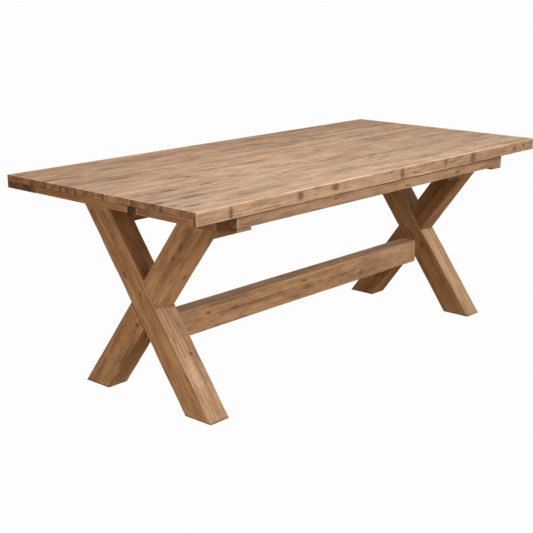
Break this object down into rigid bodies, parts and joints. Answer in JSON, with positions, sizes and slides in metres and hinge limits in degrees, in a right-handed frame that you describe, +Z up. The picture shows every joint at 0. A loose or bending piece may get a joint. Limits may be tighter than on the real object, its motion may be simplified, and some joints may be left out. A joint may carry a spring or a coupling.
{
  "type": "sawbuck table",
  "caption": "Rustic wooden sawbuck dining table: a thick plank top on half-lapped X-shaped leg frames, tied by a long low stretcher.",
  "frame": {"origin": "on the floor, under the middle of the top", "axes": "+X along the table, away from the end nearest the picture's camera; +Y to the back; +Z up"},
  "size_m": [2, 0.9, 0.76],
  "materials": {
    "top_wood": "matte, reclaimed and oiled",
    "rim_wood": "matte, reclaimed and oiled",
    "plug_wood": "matte, reclaimed and oiled",
    "frame_wood": "matte, reclaimed and oiled",
    "apron_wood": "matte, reclaimed and oiled",
    "dowel_wood": "matte, reclaimed and oiled",
    "steel": "zinc plated, satin"
  },
  "bodies": {
    "root": {"top_plank_1": "top_wood", "top_plank_2": "top_wood", "top_plank_3": "top_wood", "top_plank_4": "top_wood", "top_plank_5": "top_wood", "top_plank_6": "top_wood", "top_plank_7": "top_wood", "top_plank_8": "top_wood", "front_edge_board": "top_wood", "back_edge_strip": "rim_wood", "end_strip_near_rear": "rim_wood", "end_strip_near_front": "rim_wood", "end_strip_far_rear": "rim_wood", "end_strip_far_front": "rim_wood", "middle_batten": "rim_wood", "end_plug_near": "plug_wood", "end_plug_far": "plug_wood", "near_leg_front": "frame_wood", "near_leg_rear": "frame_wood", "far_leg_front": "frame_wood", "far_leg_rear": "frame_wood", "stretcher": "frame_wood", "bearer_near": "frame_wood", "bearer_far": "frame_wood", "corner_block_near_front": "frame_wood", "corner_block_near_rear": "frame_wood", "corner_block_far_front": "frame_wood", "corner_block_far_rear": "frame_wood", "apron_front": "apron_wood", "apron_rear": "apron_wood", "apron_block_near_front": "apron_wood", "apron_block_near_rear": "apron_wood", "apron_block_far_front": "apron_wood", "apron_block_far_rear": "apron_wood", "board_dowels": "dowel_wood", "lap_pegs": "dowel_wood", "lag_bolts": "steel", "lag_washers": "steel", "bearer_screws": "steel", "rim_screws": "steel", "apron_screws": "steel", "block_screws": "steel", "corner_screws": "steel"}
  },
  "joints": []
}
